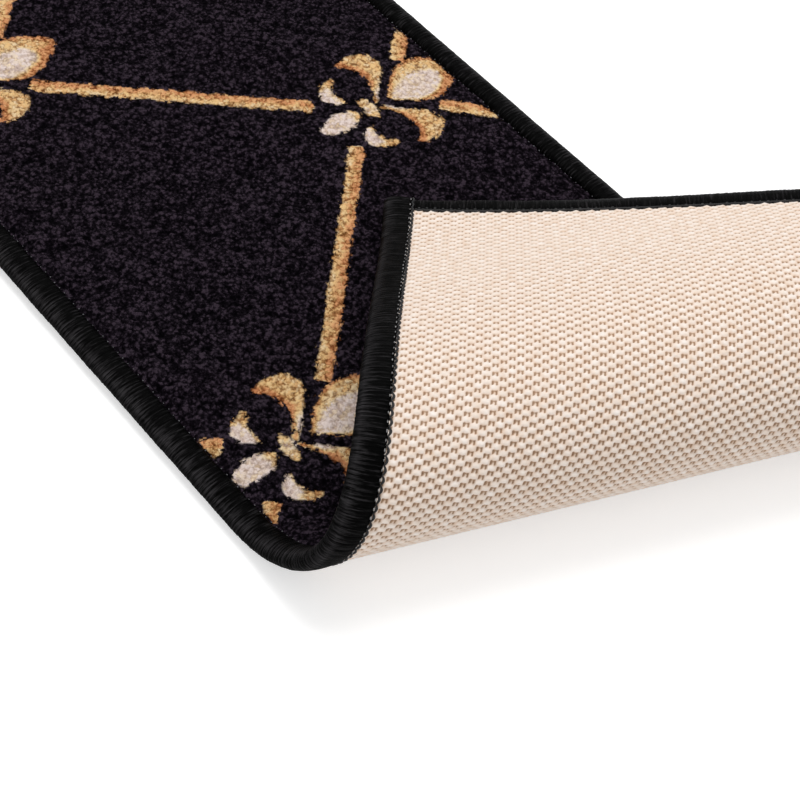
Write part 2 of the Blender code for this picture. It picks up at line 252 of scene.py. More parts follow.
# One lily, from the middle of its band: whole outlines of its petal and the petal's pale core
LILY_HALF_WIDTH = 33.0
LILY_BOTTOM = -28.0
LILY_TOP = 50.0
PETAL = (
    (0, 10.2),
    (4.4, 14.4),
    (8.2, 19.6),
    (10.8, 26.0),
    (10.4, 31.8),
    (8.0, 37.2),
    (4.2, 42.4),
    (-1.4, 47.0),
    (-7.2, 42.2),
    (-11.0, 37.0),
    (-12.8, 31.2),
    (-12.4, 25.4),
    (-9.4, 19.2),
    (-4.8, 14.2),
)
CORE = (
    (0.8, 10.6),
    (4.6, 14.8),
    (7.8, 19.8),
    (8.6, 25.4),
    (7.0, 31.2),
    (3.0, 37.0),
    (-2.2, 36.8),
    (-5.6, 31.2),
    (-6.6, 25.0),
    (-5.0, 19.0),
    (-2.2, 14.0),
)
# The curl and the tail of its right side, which the left side mirrors
CURL_OUTLINE = (
    (1.2, 4.6),
    (6.4, 9.9),
    (11.2, 14.8),
    (15.8, 18.9),
    (21.0, 20.2),
    (25.6, 18.1),
    (28.2, 13.2),
    (28.3, 8.2),
    (26.2, 3.8),
    (23.8, 6.6),
    (20.8, 8.6),
    (16.2, 9.5),
    (11.4, 9.0),
    (6.4, 6.8),
    (2.2, 3.6),
)
CURL_TIP_NUMBER = 8
SIDE_TAIL = (
    (8.0, -6.2),
    (12.6, -7.0),
    (17.2, -6.2),
    (21.4, -2.4),
    (21.6, -6.6),
    (19.0, -10.6),
    (14.8, -13.3),
    (10.6, -11.2),
)
# Right halves of the band and the middle tail
BAND = ((0, -2.8), (3.6, -2.2), (6.2, -0.2), (3.4, 1.7), (0, 2.0))
MIDDLE_TAIL = ((0, -24.6), (3.0, -21.6), (4.6, -17.0), (4.7, -12.4), (2.9, -7.6), (0, -5.8))
SPLINE_STEPS = 5
EDGE_BLUR = 1.1
# A depth that is outside every printed shape
FAR_OUTSIDE = -99.0
# The pile is pressed down where it meets the binding, and the print stops short of it there, leaving a
# dark band beside the roll as painted shade
PRINT_MARGIN_PAINTED_SHADE = (0.0106, 0.0126)

# Tones of the print, and where each one changes into the next, in millimetres
BRONZE, ORANGE, GOLD, PALE, IVORY = 0.0, 0.3, 0.55, 0.78, 1.0
RIM_LIT = GOLD + 0.08
RIM_LIT_TO_LEFT = (-3.0, 3.0)
RIM_LIT_INSIDE = (0.2, 2.4)
RIM_TIP = (32.0, 42.0)
RIM_TIP_DARKER = 0.12
CORE_BLUR = (-1.3, 1.6)
CURL_EDGE = ORANGE - 0.12
CURL_LIT = GOLD + 0.04
CURL_LIT_FROM_EDGE = (0.8, 3.8)
CURL_ROOT_EDGE = ORANGE + 0.1
CURL_ROOT_FROM_EDGE = (0.4, 1.6)
CURL_ROOT_TO_SIDE = (5.5, 12.5)
BAND_TONE = GOLD + 0.08
BAND_LIGHT = 0.2
BAND_LIGHT_HALF_WIDTH = 2.5
MIDDLE_TAIL_GOLD_UP = (-10.5, -7.0)
SIDE_TAIL_GOLD_UP = (-8.2, -6.4)
SIDE_TAIL_GOLD_OUT = (17.5, 20.5)
BAR_SHADE = 0.16
BAR_SHADE_WIDTH = 1.5


def spline(points):
    """A closed smooth outline through points."""
    p = np.array(points, float)
    before, after, beyond = np.roll(p, 1, 0), np.roll(p, -1, 0), np.roll(p, -2, 0)
    out = []
    for step in range(SPLINE_STEPS):
        t = step / SPLINE_STEPS
        out.append(
            p
            + 0.5 * t * (after - before)
            + t**2 * (before - 2.5 * p + 2.0 * after - 0.5 * beyond)
            + t**3 * (1.5 * (p - after) + 0.5 * (beyond - before))
        )
    return np.stack(out, axis=1).reshape(-1, 2)


def whole(half):
    """A whole outline from its right half, which starts and ends on the middle line."""
    return list(half) + [(-x, y) for x, y in reversed(half[1:-1])]


def depth_in(shape, points):
    """Distance from each point to the smooth outline of a shape, positive inside it."""
    a = spline(shape)
    b = np.roll(a, -1, 0)
    way = b - a
    off = points[:, None, :] - a[None]
    share = np.clip((off * way).sum(2) / (way * way).sum(1), 0.0, 1.0)
    far = np.linalg.norm(off - share[..., None] * way, axis=2).min(1)
    y0, y1 = a[:, 1], b[:, 1]
    py = points[:, 1][:, None]
    crosses = (y0 > py) != (y1 > py)
    drop = np.where(y1 == y0, 1.0, y1 - y0)
    at = a[:, 0] + (py - y0) / drop * way[:, 0]
    inside = (crosses & (points[:, 0][:, None] < at)).sum(1) % 2 == 1
    return np.where(inside, far, -far)


def deeper(one, two):
    """Of two printed shapes, each a depth and a tone at every point, the one that is deeper there."""
    return np.maximum(one[0], two[0]), np.where(two[0] > one[0], two[1], one[1])


def lily_print(local):
    """Depth inside a lily's printed shapes and the tone there, in its own millimetres."""
    x, y = local[:, 0], local[:, 1]
    aside = np.abs(x)
    mirrored = np.stack([aside, y], axis=1)

    petal = depth_in(PETAL, local)
    rim = between(ORANGE, RIM_LIT, smooth(-x, *RIM_LIT_TO_LEFT) * smooth(petal, *RIM_LIT_INSIDE))
    rim = rim - RIM_TIP_DARKER * smooth(y, *RIM_TIP)
    petal_tone = between(rim, IVORY, smooth(depth_in(CORE, local), *CORE_BLUR))

    lower_edge = spline(CURL_OUTLINE[CURL_TIP_NUMBER:])
    from_edge = np.linalg.norm(mirrored[:, None, :] - lower_edge[None], axis=2).min(1)
    body = between(CURL_EDGE, CURL_LIT, smooth(from_edge, *CURL_LIT_FROM_EDGE))
    root = between(CURL_ROOT_EDGE, IVORY, smooth(from_edge, *CURL_ROOT_FROM_EDGE))
    curl_tone = between(root, body, smooth(aside, *CURL_ROOT_TO_SIDE))

    band_tone = BAND_TONE + BAND_LIGHT * (aside < BAND_LIGHT_HALF_WIDTH)
    tail_tone = between(IVORY, GOLD, smooth(y, *MIDDLE_TAIL_GOLD_UP))
    gold_side = np.maximum(smooth(y, *SIDE_TAIL_GOLD_UP), smooth(aside, *SIDE_TAIL_GOLD_OUT))
    side_tone = between(IVORY, GOLD, gold_side)

    shape = petal, petal_tone
    shape = deeper(shape, (depth_in(CURL_OUTLINE, mirrored), curl_tone))
    shape = deeper(shape, (depth_in(whole(BAND), local), band_tone))
    shape = deeper(shape, (depth_in(whole(MIDDLE_TAIL), local), tail_tone))
    return deeper(shape, (depth_in(SIDE_TAIL, mirrored), side_tone))


def bar_print(points, start, end, lit_side):
    """Depth inside a straight bar with tapered ends and the tone there, lighter on one side."""
    way = end - start
    length = np.linalg.norm(way)
    way = way / length
    off = points - start
    along = off @ way
    aside = off @ np.array((-way[1], way[0]))
    from_end = np.minimum(along, length - along)
    half = BAR_HALF_WIDTH * np.clip(from_end / BAR_TAPER + BAR_END_SHARE, 0.0, 1.0)
    depth = np.where(half > 0.0, half - np.abs(aside), FAR_OUTSIDE)
    return depth, ORANGE + BAR_SHADE - BAR_SHADE * np.tanh(aside * lit_side / BAR_SHADE_WIDTH)


def print_on(flat):
    """Coverage and tone of the print at points of the flat rug, in metres."""
    points = flat[:, :2] / MM
    depth = np.full(len(points), FAR_OUTSIDE)
    tone = np.zeros(len(points))
    for row in LILY_ROWS:
        shift = UPPER_ROW_SHIFT if row % 2 else 0.0
        to_right = PATTERN_PITCH - UPPER_ROW_SHIFT if row % 2 else UPPER_ROW_SHIFT
        for number in LILY_NUMBERS:
            centre = FIRST_LILY + (number * PATTERN_PITCH + shift, row * ROW_RISE)
            local = points - centre
            near = (np.abs(local[:, 0]) < LILY_HALF_WIDTH) & (local[:, 1] > LILY_BOTTOM)
            near &= local[:, 1] < LILY_TOP
            if near.any():
                depth[near], tone[near] = deeper((depth[near], tone[near]), lily_print(local[near]))
            for side, reach in ((1, to_right), (-1, to_right - PATTERN_PITCH)):
                start = centre + ARM_ABOVE[side]
                end = centre + (reach, ROW_RISE) + ARM_BELOW[-side]
                depth, tone = deeper((depth, tone), bar_print(points, start, end, side))
    cover = np.clip(0.5 + depth / (2.0 * EDGE_BLUR), 0.0, 1.0)
    # The print fades out beside the binding, leaving painted shade there
    return cover * smooth(edge_distance(flat), *PRINT_MARGIN_PAINTED_SHADE), tone


def srgb(*colour):
    """A colour as the renderer wants it, from its values on the screen, 0 to 255."""
    shares = [value / 255 for value in colour]
    return tuple(((v + 0.055) / 1.055) ** 2.4 if v > 0.04 else v / 12.92 for v in shares) + (1.0,)


def screen_stops(stops):
    """A ramp's stops, from places and colours on the screen."""
    return [(place, srgb(*colour)) for place, colour in stops]


# Where a mix of colours has its sockets, beside those for its other kinds
MIX_FACTOR, MIX_ONE, MIX_TWO, MIX_RESULT = 0, 6, 7, 2


class Shading:
    """The nodes of a material or world. Its calls add a node each and give back its result."""

    def __init__(self, owner, shader="Principled BSDF"):
        owner.use_nodes = True
        self.owner = owner
        self.nodes = owner.node_tree.nodes
        self.links = owner.node_tree.links
        self.shader = self.nodes[shader]

    def fill(self, node, sockets):
        """Gives a node's sockets, by name or number, a fixed value or another node's result."""
        for key, value in sockets.items():
            if isinstance(value, bpy.types.NodeSocket):
                self.links.new(value, node.inputs[key])
            else:
                node.inputs[key].default_value = value
        return node

    def show(self, sockets):
        """Gives the shader its sockets."""
        self.fill(self.shader, sockets)

    def attribute(self, name, result="Fac"):
        """A value that the mesh keeps for each of its points."""
        node = self.nodes.new("ShaderNodeAttribute")
        node.attribute_name = name
        return node.outputs[result]

    def noise(self, vector, scale, detail, roughness, result="Fac"):
        """Soft random values over space."""
        node = self.nodes.new("ShaderNodeTexNoise")
        sockets = {"Vector": vector, "Scale": scale, "Detail": detail, "Roughness": roughness}
        return self.fill(node, sockets).outputs[result]

    def vector_math(self, operation, *values):
        """A sum or product of vectors."""
        node = self.nodes.new("ShaderNodeVectorMath")
        node.operation = operation
        return self.fill(node, dict(enumerate(values))).outputs[0]

    def number_math(self, operation, one, two):
        """A sum or product of two numbers."""
        node = self.nodes.new("ShaderNodeMath")
        node.operation = operation
        return self.fill(node, {0: one, 1: two}).outputs[0]

    def weighted(self, parts):
        """The sum of values, each times its weight."""
        total = None
        for part, weight in parts:
            share = self.number_math("MULTIPLY", part, weight)
            total = share if total is None else self.number_math("ADD", total, share)
        return total

    def remap(self, value, low, high, to_low=0.0, to_high=1.0):
        """A value whose range from low to high is stretched to another range, and kept inside it."""
        node = self.nodes.new("ShaderNodeMapRange")
        source = {"Value": value, "From Min": low, "From Max": high}
        return self.fill(node, {**source, "To Min": to_low, "To Max": to_high}).outputs["Result"]

    def ramp(self, factor, stops):
        """A colour ramp with stops as (place, colour)."""
        node = self.nodes.new("ShaderNodeValToRGB")
        elements = node.color_ramp.elements
        while len(elements) < len(stops):
            elements.new(0.5)
        for element, (place, colour) in zip(elements, stops):
            element.position = place
            element.color = colour
        return self.fill(node, {"Fac": factor}).outputs["Color"]

    def mix(self, factor, one, two, blend="MIX"):
        """Two colours blended by a factor."""
        node = self.nodes.new("ShaderNodeMix")
        node.data_type = "RGBA"
        node.blend_type = blend
        sockets = {MIX_FACTOR: factor, MIX_ONE: one, MIX_TWO: two}
        return self.fill(node, sockets).outputs[MIX_RESULT]

    def bump(self, height, distance, strength=1.0):
        """Gives the shader a fine relief."""
        node = self.nodes.new("ShaderNodeBump")
        sockets = {"Height": height, "Distance": distance, "Strength": strength}
        self.show({"Normal": self.fill(node, sockets).outputs["Normal"]})


# The pile's colours: its ground from the deep places to the crowns, darker in the deep places as painted
# shade, and the print's from bronze up
GROUND_COLOURS = ((0.58, (1, 0, 2)), (0.78, (13, 9, 14)), (0.95, (38, 31, 39)), (1.0, (54, 45, 54)))
PRINT_COLOURS = (
    (BRONZE, (176, 108, 68)),
    (ORANGE, (217, 157, 110)),
    (GOLD, (228, 190, 134)),
    (PALE, (232, 208, 170)),
    (IVORY, (230, 213, 206)),
)
# Painted shade on the print: what is left of its red, green and blue, from the deep places between tufts
# to the crowns
PRINT_PAINTED_SHADE = (
    (0.52, (0.19, 0.11, 0.065, 1.0)),
    (0.72, (0.58, 0.48, 0.40, 1.0)),
    (0.90, (1.0, 1.0, 1.0, 1.0)),
)
# How much each part adds to the shade of a place in the pile: the crowns and the tufts' heights paint
# shade into the deep places between tufts, and the fibres, patches and each tuft's own value vary its tone
# at random
CROWN_WEIGHT = 0.36
FIBRE_WEIGHT = 0.60
TUFT_WEIGHT = 0.20
PATCH_WEIGHT = 0.36
OWN_WEIGHT = 0.20
# A tuft's size and its wander in millimetres, and how it differs from its neighbours
TUFTS_A_MM = 0.6
TUFT_WANDER = (2.2, 2.2, 2.2)
TUFT_CROWN = (0.75, 0.1)
TUFT_TONE = 0.15
RAGGED_EDGE = 0.3
SHARP_EDGE = (0.32, 0.68)
CROWN_RELIEF = 0.7
# The print's painted shade in the deep places is full up to the first tone, and less at the second
PRINT_SHADE_TONES = (0.6, 1.0)
PRINT_SHADE_AMOUNTS = (1.0, 0.6)


def pile_material():
    """Cut tufts: a mottled plum black, and the print's golds and ivory where it covers them, both with
    painted shade in the deep places between tufts.
    """
    look = Shading(bpy.data.materials.new("printed_cut_pile"))
    flat = look.attribute("flat", "Vector")
    cover = look.attribute("print_cover")
    tone = look.attribute("print_tone")
    tuft = look.attribute("tuft_shade")
    waves = look.noise(flat, scale=0.9, detail=2.0, roughness=0.5, result="Color")
    cells = look.nodes.new("ShaderNodeTexVoronoi")
    wandering = look.vector_math("MULTIPLY_ADD", waves, TUFT_WANDER, flat)
    look.fill(cells, {"Vector": wandering, "Scale": TUFTS_A_MM})
    own = look.nodes.new("ShaderNodeSeparateColor")
    look.fill(own, {"Color": cells.outputs["Color"]})
    # Each tuft is lighter at its crown and darker at its edges, as painted shade between tufts; the crown
    # also gives the bump
    crown = look.remap(cells.outputs["Distance"], *TUFT_CROWN)
    fibres = look.noise(flat, scale=1.0, detail=2.0, roughness=0.5)
    patches = look.noise(flat, scale=0.36, detail=2.0, roughness=0.5)
    shade = look.weighted((
        (crown, CROWN_WEIGHT),
        (fibres, FIBRE_WEIGHT),
        (tuft, TUFT_WEIGHT),
        (patches, PATCH_WEIGHT),
        (own.outputs["Green"], OWN_WEIGHT),
    ))
    ground = look.ramp(shade, screen_stops(GROUND_COLOURS))

    own_tone = look.remap(own.outputs["Blue"], 0.0, 1.0, -TUFT_TONE, TUFT_TONE)
    printed = look.ramp(look.number_math("ADD", tone, own_tone), screen_stops(PRINT_COLOURS))
    print_shade_amount = look.remap(tone, *PRINT_SHADE_TONES, *PRINT_SHADE_AMOUNTS)
    # The print with painted shade in the deep places between tufts
    shaded_print = look.mix(print_shade_amount, printed, look.ramp(shade, PRINT_PAINTED_SHADE), "MULTIPLY")
    own_edge = look.remap(own.outputs["Red"], 0.0, 1.0, -RAGGED_EDGE, RAGGED_EDGE)
    printed_here = look.remap(look.number_math("ADD", cover, own_edge), *SHARP_EDGE)
    colour = look.mix(printed_here, ground, shaded_print)

    look.show({"Base Color": colour, "Roughness": 0.95, "Specular IOR Level": 0.03})
    raised_crown = look.number_math("MULTIPLY", crown, CROWN_RELIEF)
    look.bump(look.number_math("ADD", raised_crown, fibres), distance=0.0006)
    return look.owner


# Tufts of the pile: finer where the photo shows them
PILE_STEP_SEEN = 0.00105
PILE_STEP_HIDDEN = 0.0016
PILE_STEP_ACROSS = 0.0012
PILE_SEEN_TO = 0.44
TUFT_JITTER = 0.00028
TUFT_RELIEF = 0.00042
CLUMP_SPREAD = 1.5
CLUMP_LOOSE = 0.35
MIDDLE_SHADE = 0.5
PRESSED_UNDER = 0.0006
PRESSED_WIDTH = 0.0040
PRESSED_DEPTH = 0.0014
# Slow swells of the pile: their height, turns along and across in radians a metre, and their warp
SWELL_HEIGHT = 0.00012
SWELL_ALONG = 410.0
SWELL_ACROSS = 380.0
SWELL_SHIFT = 2.0
SWELL_WARP = 3.0
SWELL_WARP_ACROSS = 170.0


def clumped(values):
    """Random values drawn together with their neighbours', so that tufts stand in small clumps."""
    beside = np.roll(values, 1, 0)
    near = (values + beside + np.roll(values, 1, 1) + np.roll(beside, 1, 1)) / 4
    clump, loose = (near - MIDDLE_SHADE) * CLUMP_SPREAD, (values - MIDDLE_SHADE) * CLUMP_LOOSE
    return np.clip(MIDDLE_SHADE + clump + loose, 0.0, 1.0)


def make_pile():
    """The cut pile: a field of tufts, pressed down where the binding's stitches hold it."""
    seen = spaced(TUCK, PILE_SEEN_TO, PILE_STEP_SEEN)
    hidden = spaced(PILE_SEEN_TO, RUG_LENGTH - TUCK, PILE_STEP_HIDDEN)
    alongs = np.concatenate([seen, hidden[1:]])
    acrosses = spaced(TUCK, RUG_WIDTH - TUCK, PILE_STEP_ACROSS)
    top = Grid(alongs, acrosses, PILE_TOP)
    field = top.points
    tuft = clumped(RNG.random((len(alongs), len(acrosses)))).ravel()
    inside = edge_distance(field)
    free = smooth(inside, TUCK, TUCK + 2 * PILE_STEP_ACROSS)
    field[:, :2] += RNG.uniform(-TUFT_JITTER, TUFT_JITTER, (len(field), 2)) * free[:, None]
    warp = SWELL_WARP * np.sin(field[:, 1] * SWELL_WARP_ACROSS)
    swell = np.sin(field[:, 0] * SWELL_ALONG + warp) * np.sin(field[:, 1] * SWELL_ACROSS + SWELL_SHIFT)
    field[:, 2] += (tuft - MIDDLE_SHADE) * 2.0 * TUFT_RELIEF + swell * SWELL_HEIGHT
    pressed = 1.0 - smooth(inside, BINDING_WIDTH - PRESSED_UNDER, BINDING_WIDTH + PRESSED_WIDTH)
    field[:, 2] -= PRESSED_DEPTH * pressed
    low = Grid(
        spaced(TUCK, RUG_LENGTH - TUCK, UNDERLAY_STEP),
        spaced(TUCK, RUG_WIDTH - TUCK, UNDERLAY_STEP),
        PILE_BOTTOM,
        first=len(field),
    )
    flat = np.concatenate([field, low.points])
    faces = top.faces() + low.faces() + close_slab(flat, top.sides(), low.sides())
    cover, tone = print_on(flat)
    # Each tuft's height also sets its colour: the low tufts are painted darker, as shade, and the high
    # ones lighter
    shade = np.concatenate([tuft, np.full(len(low.points), MIDDLE_SHADE)])
    kept = (("print_cover", cover), ("print_tone", tone), ("tuft_shade", shade))
    return make_piece("printed_pile", flat, faces, pile_material(), kept)


# Basket weave of the back: a floating yarn brick, and beside it one thread between two gaps
WEAVE_ACROSS = 0.00541
WEAVE_ALONG = 0.00353
WEAVE_COLUMNS = (0.0, 0.00075, 0.0013, 0.00195, 0.002705, 0.00346, 0.00411, 0.00466)
WEAVE_ROWS = (0.0003, 0.00147, 0.00207, 0.00323)
WEAVE_HEIGHTS = np.array((1.0, 0.92, 0.45, -1.0, 0.35, -1.0, 0.45, 0.92))
# The thread stands half a repeat from the brick, and every second row is shifted by as much
THREAD_COLUMN = 4
THREAD_END_HEIGHT = -0.45
WEAVE_MIDDLE = 0.00025
WEAVE_RELIEF = 0.00040
WEAVE_WOBBLE = 0.00004
# Hidden under the rug, the weave is a plain checker
FINE_WEAVE_FROM = 0.430
CHECKER_COLUMNS = (WEAVE_COLUMNS[0], WEAVE_COLUMNS[THREAD_COLUMN])
CHECKER_ROWS = (WEAVE_ALONG * 0.25, WEAVE_ALONG * 0.75)
CHECKER_HEIGHTS = np.array((0.8, -0.35))
# Painted shade in the gaps between the yarns: lighter where the flap is straight, deeper where the back
# bends
GAP_DARKEST_BEND = 420.0
GAP_SHADE_LIFT_STRAIGHT = 0.25
GAP_SHADE_DEEPER_BENT = 0.24
GAP_BELOW = 0.4


def weave_lines(first, last, pitch, offsets):
    """Places of the weave's lines between two limits, and each one's number in its repeat."""
    places, numbers = [], []
    for i in range(math.floor(first / pitch), math.ceil(last / pitch)):
        for k, offset in enumerate(offsets):
            if first <= i * pitch + offset <= last:
                places.append(i * pitch + offset)
                numbers.append(k)
    return np.array(places), np.array(numbers)


def woven_grid(alongs, acrosses, relief, first=0):
    """A grid of the weave's underside, whose relief hangs down from its middle."""
    return Grid(alongs, acrosses, WEAVE_MIDDLE - WEAVE_RELIEF * relief, first)


def make_backing():
    """The woven back: relief of bricks, threads and gaps, finer where the photo shows it."""
    across, column = weave_lines(TUCK, RUG_WIDTH - TUCK, WEAVE_ACROSS, WEAVE_COLUMNS)
    along, row = weave_lines(FINE_WEAVE_FROM, RUG_LENGTH - TUCK, WEAVE_ALONG, WEAVE_ROWS)
    row = row[:, None]
    in_repeat = (column + THREAD_COLUMN * (row // 2)) % len(WEAVE_COLUMNS)
    fine_relief = WEAVE_HEIGHTS[in_repeat]
    fine_relief[(in_repeat == THREAD_COLUMN) & (row % 2 == 1)] = THREAD_END_HEIGHT
    fine = woven_grid(along, across, fine_relief)

    fine_start = along[0] - WEAVE_ROWS[0]
    checker_across, column = weave_lines(TUCK, RUG_WIDTH - TUCK, WEAVE_ACROSS, CHECKER_COLUMNS)
    checker_along, row = weave_lines(TUCK, fine_start, WEAVE_ALONG, CHECKER_ROWS)
    checker_relief = CHECKER_HEIGHTS[(column + row[:, None]) % 2]
    checker = woven_grid(checker_along, checker_across, checker_relief, len(fine.points))

    under = np.concatenate([fine.points, checker.points])
    under += RNG.uniform(-WEAVE_WOBBLE, WEAVE_WOBBLE, under.shape)
    top = Grid(
        spaced(checker_along[0], along[-1], UNDERLAY_STEP),
        spaced(across[0], across[-1], UNDERLAY_STEP),
        BACKING_TOP,
        first=len(under),
    )
    points = np.concatenate([under, top.points])
    faces = fine.faces() + checker.faces() + top.faces()
    fine_sides, checker_sides = fine.sides(), checker.sides()
    faces += zip_lines(fine_sides[0], checker_sides[1], points[:, 1])
    long_sides = [low + high for low, high in zip(checker_sides[2:], fine_sides[2:])]
    faces += close_slab(points, [checker_sides[0], fine_sides[1], *long_sides], top.sides())

    # How deep the painted shade in the gaps is, by how much the back bends there
    bend = np.interp(past_fold(points) / ARC, BEND_SHARES, BEND_DEGREES)
    bent = np.clip(bend / GAP_DARKEST_BEND, 0.0, 1.0)
    relief = np.concatenate([fine_relief.ravel(), checker_relief.ravel(), np.ones(len(top.points))])
    relief += (GAP_SHADE_LIFT_STRAIGHT - GAP_SHADE_DEEPER_BENT * bent) * (relief < GAP_BELOW)
    return make_piece("woven_back", points, faces, backing_material(), (("relief", relief),))


# The back's colours: its yarn from the gaps to the tops of the bricks, darker in the gaps as the tan yarn
# underneath and as painted shade, and its patches
YARN_COLOURS = (
    (0.0, (150, 121, 97)),
    (0.28, (197, 167, 141)),
    (0.44, (238, 219, 203)),
    (0.75, (250, 235, 224)),
    (1.0, (253, 243, 235)),
)
YARN_PATCHES = ((0.3, (244, 234, 224)), (0.7, (255, 255, 255)))
YARN_FIBRE_SHAPE = (4.0, 0.9, 1.0)
YARN_FIBRE_WEIGHT = 0.7


def backing_material():
    """Cream yarn with tan gaps darkened by painted shade, and fine fibres along each brick."""
    look = Shading(bpy.data.materials.new("woven_back_yarn"))
    flat = look.attribute("flat", "Vector")
    drawn_out = look.vector_math("MULTIPLY", flat, YARN_FIBRE_SHAPE)
    fibres = look.noise(drawn_out, scale=1.2, detail=3.0, roughness=0.6)
    uneven = look.number_math("MULTIPLY", look.number_math("SUBTRACT", fibres, 0.5), YARN_FIBRE_WEIGHT)
    lifted = look.number_math("ADD", look.attribute("relief"), uneven)
    yarn = look.ramp(look.remap(lifted, low=-1.0, high=1.0), screen_stops(YARN_COLOURS))
    patches = look.noise(flat, scale=0.3, detail=2.0, roughness=0.5)
    tint = look.ramp(patches, screen_stops(YARN_PATCHES))
    colour = look.mix(1.0, yarn, tint, "MULTIPLY")
    look.show({"Base Color": colour, "Roughness": 0.78, "Specular IOR Level": 0.3})
    look.bump(fibres, distance=0.0003, strength=0.8)
    return look.owner


# Binding: wraps of yarn round the edge, two to a stitch
STITCH_PITCH = 0.0031
WRAPS_A_STITCH = 2
WRAP_COLUMNS = 5
WRAP_HEIGHT = 0.00010
WRAP_SUNK = 0.00008
WRAP_SHARPNESS = 0.7
WRAP_WANDER = 0.00007
WRAP_SLANT = 0.0009
SLOW_WANDER_STEP = 40
# Section of the roll as (inward from the edge, up), from the pile side round to the back
ROLL = (
    (10.7, 4.3),
    (10.6, 5.5),
    (9.8, 6.3),
    (8.1, 6.85),
    (6.0, 7.0),
    (3.8, 6.7),
    (1.8, 5.8),
    (0.45, 4.4),
    (0.0, 3.0),
    (0.45, 1.4),
    (1.8, 0.15),
    (3.8, -0.55),
    (6.0, -0.8),
    (8.3, -0.75),
    (10.0, -0.55),
    (10.8, -0.1),
    (10.7, 1.2),
)
ROLL_GIRTH = 30.0
# The roll's painted highlight: two lighter bands round it, by the numbers of the section's points
OUTER_POINT = 8
HIGHLIGHT_OFF = 2.0
HIGHLIGHT_POINTS = 1.2
# The end rolls butt against the long ones, and lie a little back from their ends
LONG_SET_IN = 0.0022
END_SET_IN = 0.0034
END_SET_IN_MIDDLE = 0.0012
END_MIDDLE_FROM = 0.03
END_OVERLAP = 0.0015
END_ROUND = 0.0028
END_THICKNESS = 0.3
# How far the outer edge of the turned-over end curls up: places along it, and the rise there
LIFT_PLACES = (0.015, 0.05, 0.14, 0.16, 0.18, 0.195)
LIFT_RISES = (0.0, 0.0008, 0.0027, 0.0025, 0.0016, 0.0010)

Side = namedtuple("Side", "start, way, out, length, kind")


def bound_sides():
    """The bound edges, each with where it starts and runs and which way is out of the rug."""
    gap = BINDING_WIDTH - END_OVERLAP
    long, short = RUG_LENGTH - 2 * LONG_SET_IN, RUG_WIDTH - 2 * gap
    rows = (
        ((LONG_SET_IN, 0.0), (1.0, 0.0), (0.0, -1.0), long, "long"),
        ((RUG_LENGTH, gap), (0.0, 1.0), (1.0, 0.0), short, "turned over"),
        ((RUG_LENGTH - LONG_SET_IN, RUG_WIDTH), (-1.0, 0.0), (0.0, 1.0), long, "long"),
        ((0.0, RUG_WIDTH - gap), (0.0, -1.0), (-1.0, 0.0), short, "lying"),
    )
    return [Side(np.array(start), np.array(way), np.array(out), *rest) for start, way, out, *rest in rows]


def tube(rings):
    """Points and faces of a closed tube through rings of points, with a pointed cap at each end."""
    count, around = rings.shape[:2]
    number = np.arange(count * around).reshape(count, around)
    beside = np.roll(number, -1, 1)
    faces = np.stack([number[:-1], beside[:-1], beside[1:], number[1:]], axis=-1).reshape(-1, 4).tolist()
    tips = (count * around, count * around + 1)
    faces += [(a, tips[0], b) for a, b in zip(number[0].tolist(), beside[0].tolist())]
    faces += [(a, b, tips[1]) for a, b in zip(number[-1].tolist(), beside[-1].tolist())]
    points = np.concatenate([rings.reshape(-1, 3), rings[:1].mean(1), rings[-1:].mean(1)])
    return points, faces


def for_tube(values):
    """Values of a tube's rings, with zeros for the points of its two caps."""
    return np.concatenate([values, np.zeros((2, *values.shape[1:]))])


def joined(parts):
    """One set of points and faces from several."""
    points, faces = [], []
    first = 0
    for part_points, part_faces in parts:
        points.append(part_points)
        faces += [[n + first for n in face] for face in part_faces]
        first += len(part_points)
    return np.concatenate(points), faces


def wrap_growth(wraps):
    """Each ring's height on its wrap, 0 to 1, and how far the roll stands out there."""
    count = wraps * WRAP_COLUMNS + 1
    ridge = np.sin(math.pi * (np.arange(count) % WRAP_COLUMNS) / WRAP_COLUMNS) ** WRAP_SHARPNESS
    own = np.repeat(RNG.uniform(-1.0, 1.0, wraps + 1), WRAP_COLUMNS)[:count]
    knots = np.arange(0, count + SLOW_WANDER_STEP, SLOW_WANDER_STEP)
    slow = np.interp(np.arange(count), knots, RNG.uniform(-1.0, 1.0, len(knots)))
    return ridge, ridge * WRAP_HEIGHT - WRAP_SUNK + (own + slow) * WRAP_WANDER


def round_end(from_end, radius):
    """Goes from 0 at an end to 1 a radius away from it, as a quarter circle does."""
    return np.sqrt(1.0 - np.clip(1.0 - from_end / radius, 0.0, 1.0) ** 2)


